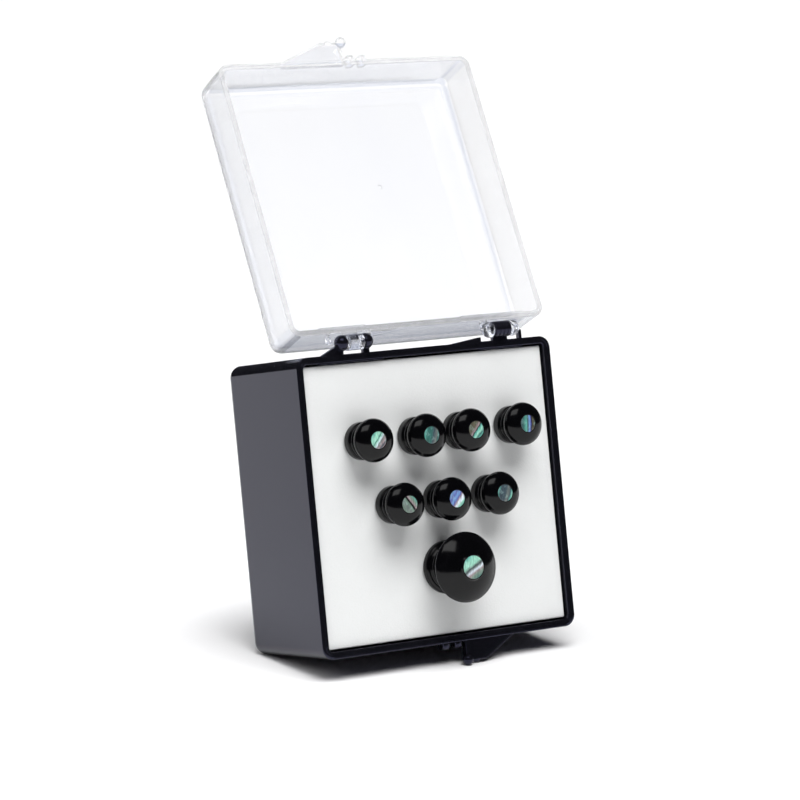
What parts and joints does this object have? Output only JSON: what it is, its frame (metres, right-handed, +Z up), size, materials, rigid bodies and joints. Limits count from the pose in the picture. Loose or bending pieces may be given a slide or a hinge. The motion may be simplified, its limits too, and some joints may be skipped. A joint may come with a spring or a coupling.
{
  "type": "boxed bridge pin set",
  "caption": "Hinged square box, black tray and clear lid, holding ball-headed bridge pins and a larger end pin in a foam insert.",
  "frame": {"origin": "on the surface it stands on, under the middle of its bounding box with the lid open", "axes": "+Z up; +X along the lid's hinge axis; -Y the side the open box faces; the box leans back about X on its latch tab"},
  "size_m": [0.054, 0.0536, 0.1116],
  "materials": {
    "tray_black": "gloss",
    "lid_clear": "gloss",
    "foam_white": "matte",
    "pin_black": "gloss",
    "abalone": "gloss"
  },
  "bodies": {
    "base_tray": {"base_tray": "tray_black"},
    "clear_lid": {"clear_lid": "lid_clear"},
    "foam_insert": {"foam_insert": "foam_white"},
    "bridge_pin_1": {"bridge_pin_1": "pin_black", "bridge_pin_1_inlay": "abalone"},
    "bridge_pin_2": {"bridge_pin_2": "pin_black", "bridge_pin_2_inlay": "abalone"},
    "bridge_pin_3": {"bridge_pin_3": "pin_black", "bridge_pin_3_inlay": "abalone"},
    "bridge_pin_4": {"bridge_pin_4": "pin_black", "bridge_pin_4_inlay": "abalone"},
    "bridge_pin_5": {"bridge_pin_5": "pin_black", "bridge_pin_5_inlay": "abalone"},
    "bridge_pin_6": {"bridge_pin_6": "pin_black", "bridge_pin_6_inlay": "abalone"},
    "bridge_pin_7": {"bridge_pin_7": "pin_black", "bridge_pin_7_inlay": "abalone"},
    "end_pin": {"end_pin": "pin_black", "end_pin_inlay": "abalone"}
  },
  "joints": [
    {"name": "lid_hinge", "type": "hinge", "parent": "base_tray", "child": "clear_lid", "pos_m": [0, -0.00979, 0.05942], "axis": [-1, 0, 0], "range_deg": [-200, 0]},
    {"name": "foam_lift_out", "type": "slide", "parent": "base_tray", "child": "foam_insert", "axis": [0, -0.9828, 0.1848], "range_m": [0, 0.028]},
    {"name": "bridge_pin_1_pull", "type": "slide", "parent": "foam_insert", "child": "bridge_pin_1", "axis": [0, -0.9828, 0.1848], "range_m": [0, 0.024]},
    {"name": "bridge_pin_2_pull", "type": "slide", "parent": "foam_insert", "child": "bridge_pin_2", "axis": [0, -0.9828, 0.1848], "range_m": [0, 0.024]},
    {"name": "bridge_pin_3_pull", "type": "slide", "parent": "foam_insert", "child": "bridge_pin_3", "axis": [0, -0.9828, 0.1848], "range_m": [0, 0.024]},
    {"name": "bridge_pin_4_pull", "type": "slide", "parent": "foam_insert", "child": "bridge_pin_4", "axis": [0, -0.9828, 0.1848], "range_m": [0, 0.024]},
    {"name": "bridge_pin_5_pull", "type": "slide", "parent": "foam_insert", "child": "bridge_pin_5", "axis": [0, -0.9828, 0.1848], "range_m": [0, 0.024]},
    {"name": "bridge_pin_6_pull", "type": "slide", "parent": "foam_insert", "child": "bridge_pin_6", "axis": [0, -0.9828, 0.1848], "range_m": [0, 0.024]},
    {"name": "bridge_pin_7_pull", "type": "slide", "parent": "foam_insert", "child": "bridge_pin_7", "axis": [0, -0.9828, 0.1848], "range_m": [0, 0.024]},
    {"name": "end_pin_pull", "type": "slide", "parent": "foam_insert", "child": "end_pin", "axis": [0, -0.9828, 0.1848], "range_m": [0, 0.022]}
  ]
}
